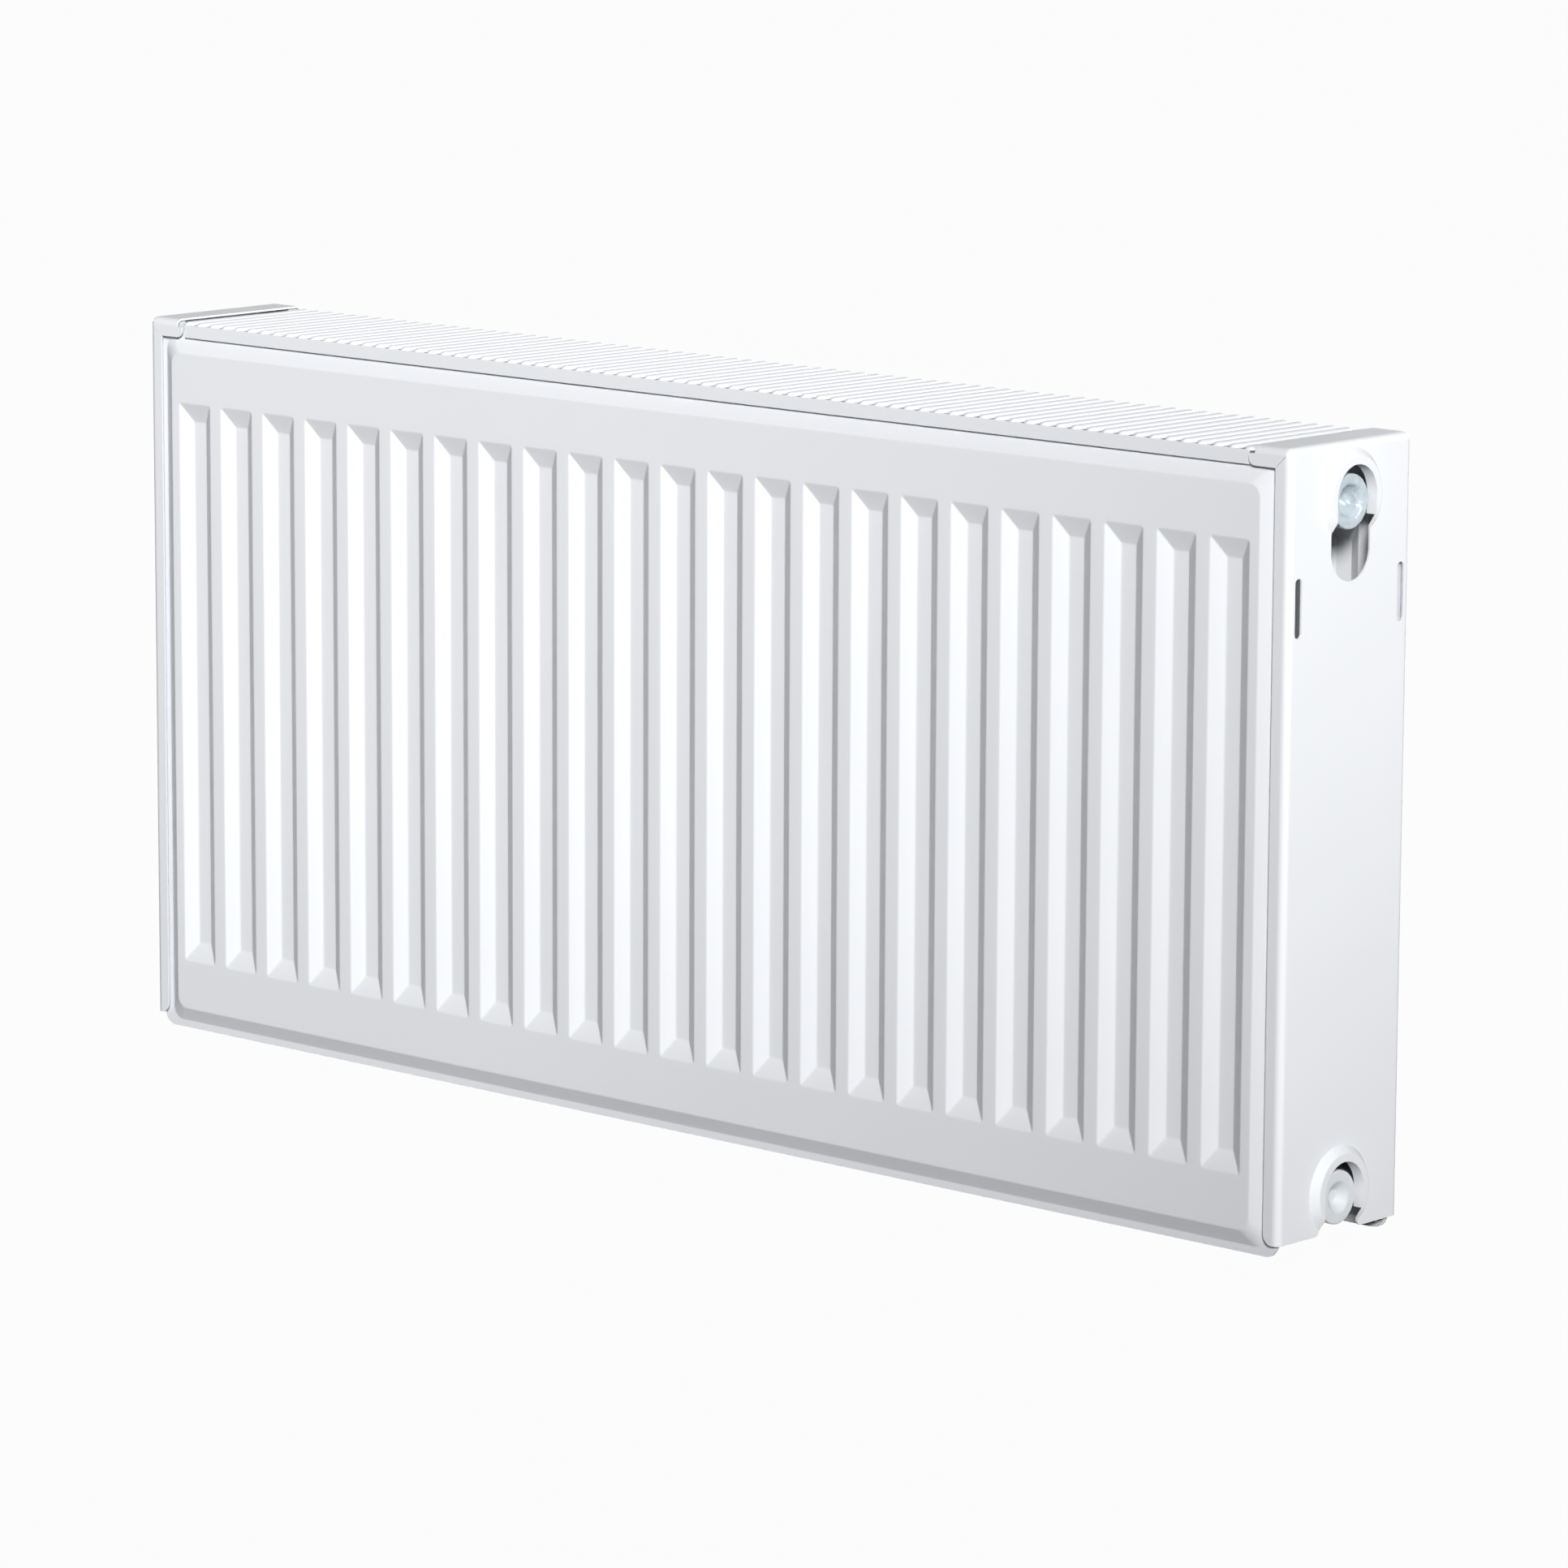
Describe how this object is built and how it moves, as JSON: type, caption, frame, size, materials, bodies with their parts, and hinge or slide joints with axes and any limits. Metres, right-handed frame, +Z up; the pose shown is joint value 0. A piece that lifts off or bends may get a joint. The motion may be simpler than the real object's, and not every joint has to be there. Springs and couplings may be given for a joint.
{
  "type": "panel radiator",
  "caption": "Compact steel panel radiator: two fluted panels with convector fins, lift-off side covers and top grille, threaded end tappings with transport plugs.",
  "frame": {"origin": "on the floor plane, under the middle of the whole radiator, hanging lugs included", "axes": "+X along the radiator towards the plugged end, +Y from the room to the wall, +Z up"},
  "size_m": [0.8136, 0.104, 0.4],
  "materials": {
    "white_enamel": "satin white stove enamel",
    "white_primer": "thin satin white dip coat",
    "clip_plastic": "white moulded plastic",
    "clear_plug_plastic": "milky natural plastic",
    "white_plug_plastic": "white moulded plastic"
  },
  "bodies": {
    "radiator": {"front_panel_outer_sheet": "white_enamel", "front_panel_inner_sheet": "white_enamel", "rear_panel_outer_sheet": "white_enamel", "rear_panel_inner_sheet": "white_enamel", "front_convector": "white_primer", "rear_convector": "white_primer", "upper_right_tee": "white_primer", "upper_left_tee": "white_primer", "lower_right_tee": "white_primer", "lower_left_tee": "white_primer", "upper_right_lug": "white_enamel", "upper_left_lug": "white_enamel", "lower_right_lug": "white_enamel", "lower_left_lug": "white_enamel"},
    "grille": {"top_grille": "white_enamel", "grille_clips": "clip_plastic"},
    "right_cover": {"right_side_cover": "white_enamel", "right_cover_clips": "clip_plastic"},
    "left_cover": {"left_side_cover": "white_enamel", "left_cover_clips": "clip_plastic"},
    "upper_plug": {"upper_right_plug": "clear_plug_plastic"},
    "lower_plug": {"lower_right_plug": "white_plug_plastic"}
  },
  "joints": [
    {"name": "grille_lift", "type": "slide", "parent": "radiator", "child": "grille", "axis": [0, 0, 1], "range_m": [0, 0.05]},
    {"name": "right_cover_lift", "type": "slide", "parent": "radiator", "child": "right_cover", "axis": [0, 0, 1], "range_m": [0, 0.022]},
    {"name": "left_cover_lift", "type": "slide", "parent": "radiator", "child": "left_cover", "axis": [0, 0, 1], "range_m": [0, 0.022]},
    {"name": "upper_plug_pull", "type": "slide", "parent": "radiator", "child": "upper_plug", "axis": [1, 0, 0], "range_m": [0, 0.025]},
    {"name": "lower_plug_pull", "type": "slide", "parent": "radiator", "child": "lower_plug", "axis": [1, 0, 0], "range_m": [0, 0.025]}
  ]
}
